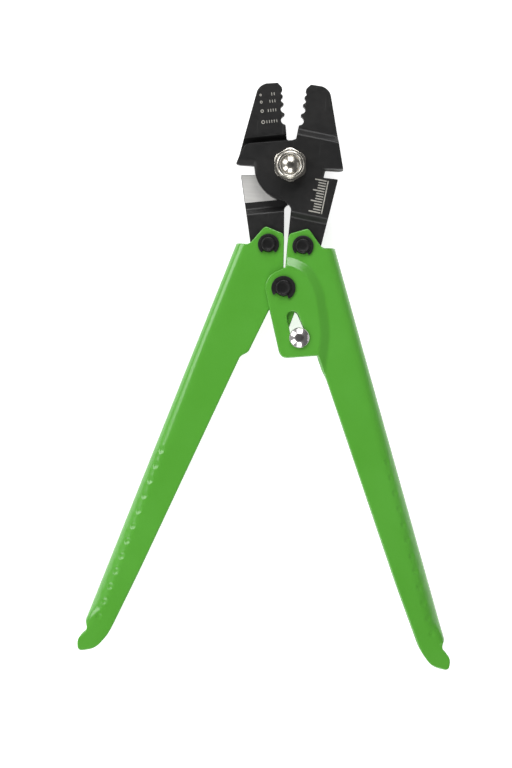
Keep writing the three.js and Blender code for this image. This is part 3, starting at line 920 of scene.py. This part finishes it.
def handle(name, node_name, body, corners, mirror, lobed, holes):
    """A pressed channel: the plan outline is cut through both walls, which are joined round the spine."""
    outline = refined(rounded(corners, 7), 1.15)
    along, across = (outline - SPINE_TOP) @ ALONG, (outline - SPINE_TOP) @ INWARD
    along_edge = (np.abs(across) < 0.01) & (along > 0.01) & (along < SPINE_LENGTH - 0.5)
    start = int(np.flatnonzero(along_edge)[-1]) + 1
    open_path = np.roll(outline, -start, 0)[: int((~along_edge).sum())]
    front = to_pattern(open_path, 1)
    front[:, 1] = np.maximum(front[:, 1], 0.35)
    front[0, 1] = front[-1, 1] = 0
    back = (front * (1, -1))[::-1][1:-1]
    loop = turning(clean(np.vstack([front, back]), 0.05), True)
    loops = [loop]
    for hole in holes:
        for side in (1, -1):
            loops.append(turning(to_pattern(np.array(hole), side), False))
    edges = [inset(each, SHEET_RIM) for each in loops]
    low, high = loop.min(0), loop.max(0)
    fine = grid(low, high, 0.75)
    fine = fine[(fine[:, 0] > SQUARING) & (np.abs(fine[:, 1]) < BACK + 1)]
    coarse = grid(low, high, MESH_SPACING)
    coarse = coarse[(coarse[:, 0] < SQUARING - 0.6) | (np.abs(coarse[:, 1]) > BACK + 1.6)]
    shaped = dimple_seeds()
    if lobed:
        shaped = np.vstack([shaped, lobe_seeds()])
        coarse = coarse[~near_lobe(coarse)]
    field = np.vstack([coarse, fine])
    field = field[dimple_reach(field) > 1.4]
    seeds = seeded(np.vstack([field, shaped]), edges, 0.4)
    verts, faces, _ = plate(loops, seeds, sheet_place(lobed, mirror), SHEET_RIM, INNER_RIM)
    if mirror < 0:
        faces = [f[::-1] for f in faces]
    piece(name, verts, faces, [GREEN], None, body, node_name, sharp=45)


def boss(radius, start, end, steps):
    """Points of an arc about the handle pivot, in plan."""
    angles = np.radians(np.linspace(start, end, steps + 1))
    x, y = HANDLE_PIVOT[:2]
    return [(x + radius * math.cos(a), y + radius * math.sin(a)) for a in angles]


PIN_HOLES = [
    arc(*RIGHT_PIN[:2], TOGGLE_R + RUNNING, 0, 345, 15),
    arc(*HANDLE_PIVOT[:2], PIVOT_R + RUNNING, 0, 345, 15),
]
RIGHT_HOLES = [*PIN_HOLES, slot_outline()]
RIGHT_CORNERS = [
    *EAR,
    *GRIP,
    (18.6, -84.8, 2),
    (16.2, -78.9, 0.8),
    (0.4, -80.9, 3.4),
    *boss(7.6, 196, 112, 14),
    (0.4, -42.6),
]
LEFT_CORNERS = [
    *EAR,
    *GRIP,
    (16.6, -80.9, 1),
    (13.2, -78.8, 1),
    (5, -59.5, 2),
    (-1.5, -59.5, 2),
    (1.9, -70.4, 1.3),
    (-2.5, -70.2, 1.3),
    *boss(8.6, 218, 90, 20),
    (0.4, -42.7),
]
handle("right_handle_shell", "right_handle", "right_handle", RIGHT_CORNERS, 1, True, RIGHT_HOLES)
handle("left_handle_shell", "left_handle", "left_handle", LEFT_CORNERS, -1, False, PIN_HOLES)

# ---- Bolt, nut and lock ring ----

HEX_CONE = 6.25  # where the hexagon's chamfer cone meets its flat face
HEX = (6.5, HEX_CONE, math.radians(18))
NUT_LOW, NUT_HIGH = (corner.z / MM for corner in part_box("pivot_nut"))
BOLT_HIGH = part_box("pivot_bolt")[1].z / MM
HEAD_TOP = 5.3
CROWN_Z = NUT_LOW + 5.6
CROWN_BORE = 4.45
NUT_TURN = math.radians(3)

bolt_profile = [
    (0, 0.0),
    (HEX_CONE - 0.15, 0.0),
    (HEX_CONE, 0.02),
    (None, 0.02, -1),
    (None, HEAD_TOP - 0.05, 1),
    (HEX_CONE, HEAD_TOP - 0.05),
    (HEX_CONE - 0.3, HEAD_TOP),
    (4.35, HEAD_TOP),
    (BOLT_R, HEAD_TOP),
    (BOLT_R, BOLT_HIGH - 1.9),
    (3.93, BOLT_HIGH - 1.72),
    *cap_profile(3.8, BOLT_HIGH - 1.58, BOLT_HIGH, 14),
]
verts, faces = revolved(bolt_profile, 96, HEX)
piece("pivot_bolt_body", verts, faces, [NUT_PLATE], None, "left_jaw", "pivot_bolt", 32)

nut_profile = [
    (BOLT_R + RUNNING, NUT_LOW),
    (HEX_CONE, NUT_LOW),
    (None, NUT_LOW, -1),
    (None, CROWN_Z, 1),
    (HEX_CONE, CROWN_Z),
    (5.9, CROWN_Z + 0.01),
    (5.77, CROWN_Z + 0.12),
    *edge_round(5.75, NUT_HIGH, 0.8, 6),
    *[(CROWN_BORE + 4.9 - r, z) for r, z in edge_round(4.9, NUT_HIGH, 0.45, 4)[::-1]],
    (CROWN_BORE, NUT_HIGH - 0.6),
    (5.05, NUT_HIGH - 0.6),
    (5.05, CROWN_Z),
    (BOLT_R + RUNNING, CROWN_Z),
]
verts, faces = revolved(nut_profile, 96, HEX, NUT_TURN)
piece("pivot_nut_body", verts, faces, [NUT_PLATE], None, "left_jaw", "pivot_nut", 32)

ring_low, ring_high = (corner.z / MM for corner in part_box("nut_lock_insert"))
ring_profile = [
    (4.1, ring_low),
    (4.95, ring_low),
    (4.95, ring_high - 0.15),
    (4.8, ring_high),
    (4.25, ring_high),
    (4.1, ring_high - 0.15),
]
verts, faces = revolved(ring_profile, 72)
piece("nut_lock_ring", verts, faces, [NYLON], None, "left_jaw", "nut_lock_insert", 40)

# ---- Pins, clips and the lock stud ----

CLIP_T = 0.7
CLIP_RIM = 0.14
CLIP_OPENING = 40  # degrees, to each side of straight down


def moved(verts, x, y):
    """Points from an upright axis at the middle plane to the axis at (x, y)."""
    return verts + np.array([x, y, MID_Z])


def pin(name, node_name, body, at, radius, face):
    """A round pin with a chamfered, slightly dished end and a clip groove at each end."""
    low, high = face + 0.1, face + 1.0
    end = high + 0.75
    groove = radius - 0.7
    upper = [(radius, 0.0), (radius, low - 0.05), (radius - 0.05, low), (groove, low), (groove, high)]
    upper += [(radius - 0.05, high), (radius, high + 0.05), *edge_round(radius, end, 0.42, 4)]
    upper += [(radius - 0.75, end), (radius - 0.95, end - 0.1)]
    upper += [(radius * 0.4, end - 0.14), (0, end - 0.15)]
    lower = [(r, -z) for r, z in upper[1:]][::-1]
    verts, faces = revolved(lower + upper, 60)
    piece(name, moved(verts, *at[:2]), faces, [PIN_BLACK], None, body, node_name, 40)


def clip(name, node_name, body, at, radius, outer, z, turn):
    """A flat spring clip: a ring open on its lower side, with three inner prongs that reach the groove."""
    bore = radius - 0.6
    clear = radius - 0.1
    start, end = -90 + CLIP_OPENING, 270 - CLIP_OPENING
    points = arc(0, 0, outer, start, end, 7)
    for a in np.linspace(end, start, 61):
        prong = max(math.cos(math.radians(3 * (a - 90))), 0) ** 0.5
        reach = clear + (bore - clear) * smooth((prong - 0.35) / 0.4)
        points.append((reach * math.cos(math.radians(a)), reach * math.sin(math.radians(a))))
    loop = turning(softened(points, 0.16), True)
    middle = (radius + outer) / 2
    angles = np.radians(np.linspace(start + 8, end - 8, 30))
    seeds = np.array([(middle * math.cos(a), middle * math.sin(a)) for a in angles])
    seeds = seeded(seeds, [inset(loop, CLIP_RIM)], 0.15)

    def place(plan, level, drop):
        flat = swung(plan, math.radians(turn)) + at[:2]
        height = CLIP_T / 2 - drop if level == 0 else -CLIP_T / 2 + drop
        return np.column_stack([flat, MID_Z + z + height])

    verts, faces, _ = plate([loop], seeds, place, CLIP_RIM, CLIP_RIM)
    piece(name, verts, faces, [CLIP_BLACK], None, body, node_name, 40)


# Name, body, place, pin radius, clip radius, height of the face it stands on, and turn of its clips
PINS = [
    ("left_toggle", "left_handle", LEFT_PIN, TOGGLE_R, 4.5, HEAD_HALF, 3),
    ("right_toggle", "right_handle", RIGHT_PIN, TOGGLE_R, 4.5, HEAD_HALF, -4),
    ("handle_pivot", "right_handle", HANDLE_PIVOT, PIVOT_R, 5.1, HEAD_HALF + LOBE_LIFT, -11),
]
for label, body, at, radius, outer, face, turn in PINS:
    pin(f"{label}_pin_body", f"{label}_pin", body, at, radius, face)
    for side, sign in (("front", 1), ("rear", -1)):
        node_name = f"{label}_clip_{side}"
        clip(f"{label}_ring_{side}", node_name, body, at, radius, outer, sign * (face + 0.55), turn)

STUD_FACE = HEAD_HALF + LOBE_LIFT + 0.2
STUD_TOP = STUD_FACE + 2.4
STUD_DOME = cap_profile(4.16, STUD_FACE + 0.84, STUD_TOP, 16)
stud_profile = [
    (0, -STUD_FACE - 1.6),
    (1.25, -STUD_FACE - 1.6),
    (1.4, -STUD_FACE - 1.45),
    (1.4, -STUD_FACE),
    (2.0, -STUD_FACE),
    (2.0, STUD_FACE),
    (4.12, STUD_FACE),
    (4.26, STUD_FACE + 0.08),
    (4.3, STUD_FACE + 0.25),
    (4.3, STUD_FACE + 0.5),
    (4.26, STUD_FACE + 0.68),
    *STUD_DOME,
]
verts, faces = revolved(stud_profile, 96)
verts = moved(verts, *STUD[:2])
piece("lock_stud_body", verts, faces, [STUD_PLATE], None, "lock_stud", "lock_stud", 34)

cap_points = [
    (0, -STUD_FACE - 1.7),
    (1.49, -STUD_FACE - 1.7),
    (1.49, -STUD_FACE - 0.02),
    (4.12, -STUD_FACE - 0.02),
    (4.26, -STUD_FACE - 0.1),
    (4.3, -STUD_FACE - 0.25),
    (4.3, -STUD_FACE - 0.5),
    (4.26, -STUD_FACE - 0.68),
    *[(r, -z) for r, z in STUD_DOME],
]
verts, faces = revolved(cap_points, 96)
verts = moved(verts, *STUD[:2])
piece("lock_stud_rear_cap", verts, faces, [STUD_PLATE], None, "lock_stud", "lock_stud_cap", 34)

# ---- Studio: floor, lights and camera ----

floor_mesh = bpy.data.meshes.new("studio_floor")
work = bmesh.new()
bmesh.ops.create_grid(work, x_segments=24, y_segments=24, size=6)
work.to_mesh(floor_mesh)
work.free()
floor_mesh.materials.append(pale_floor())
floor = bpy.data.objects.new("studio_floor", floor_mesh)
bpy.context.scene.collection.objects.link(floor)

FOCUS = Vector((-0.0093, -0.0922, MID_Z * MM))
WATTS_PER_AREA = 9.3
CAMERA_HEIGHT = 1.079  # above the focus, in metres
CAMERA_ROLL = math.radians(3.1)


def softbox(name, azimuth, zenith, reach, width, height, power):
    """An area light that faces the tool from a bearing (degrees, anticlockwise from +X) and an angle off
    the vertical."""
    data = bpy.data.lights.new(name, "AREA")
    data.shape = "RECTANGLE"
    data.size = width
    data.size_y = height
    data.energy = power
    made = bpy.data.objects.new(name, data)
    bpy.context.scene.collection.objects.link(made)
    a, e = math.radians(azimuth), math.radians(zenith)
    towards = Vector((math.cos(a) * math.sin(e), math.sin(a) * math.sin(e), math.cos(e)))
    made.location = FOCUS + towards * reach
    made.visible_camera = False
    made.rotation_mode = "QUATERNION"
    made.rotation_quaternion = towards.to_track_quat("Z", "Y")


# Name, bearing, angle off the vertical, distance, width and height in metres, and brightness
SOFTBOXES = [
    ("softbox_top", 88, 54, 1.4, 0.85, 0.95, 1.7),
    ("softbox_upper_left", 147, 54, 0.8, 0.38, 0.5, 1.35),
    ("softbox_lower_left", 218, 54, 1.4, 0.65, 0.95, 1.15),
    ("softbox_bottom", 273, 54, 1.4, 0.7, 0.95, 1.3),
    ("softbox_right", 3, 78, 1.4, 0.95, 0.6, 0.15),
]
for name, azimuth, zenith, reach, width, height, share in SOFTBOXES:
    softbox(name, azimuth, zenith, reach, width, height, WATTS_PER_AREA * share * width * height)

# The sky is dark overhead, where the camera is, and to the right
world = bpy.data.worlds.new("studio_world")
bpy.context.scene.world = world
world.use_nodes = True
sky = world.node_tree
direction = node(sky, "ShaderNodeTexCoord").outputs["Generated"]
split = node(sky, "ShaderNodeSeparateXYZ", {"Vector": direction}).outputs
by_height = remap(sky, split["Z"], 0.92, 0.74, 0.10, 0.38)
by_side = remap(sky, split["X"], 0.1, 0.6, 1.0, 0.4)
sky.links.new(product(sky, by_height, by_side), sky.nodes["Background"].inputs["Strength"])
sky.nodes["Background"].inputs["Color"].default_value = (1, 1, 1, 1)

camera_data = bpy.data.cameras.new("camera")
camera_data.lens = 120
camera_data.clip_end = 20
camera = bpy.data.objects.new("camera", camera_data)
bpy.context.scene.collection.objects.link(camera)
camera.location = FOCUS + Vector((0, 0, CAMERA_HEIGHT))
camera.rotation_euler = (0, 0, CAMERA_ROLL)
bpy.context.scene.camera = camera
bpy.context.scene.view_settings.view_transform = "Standard"
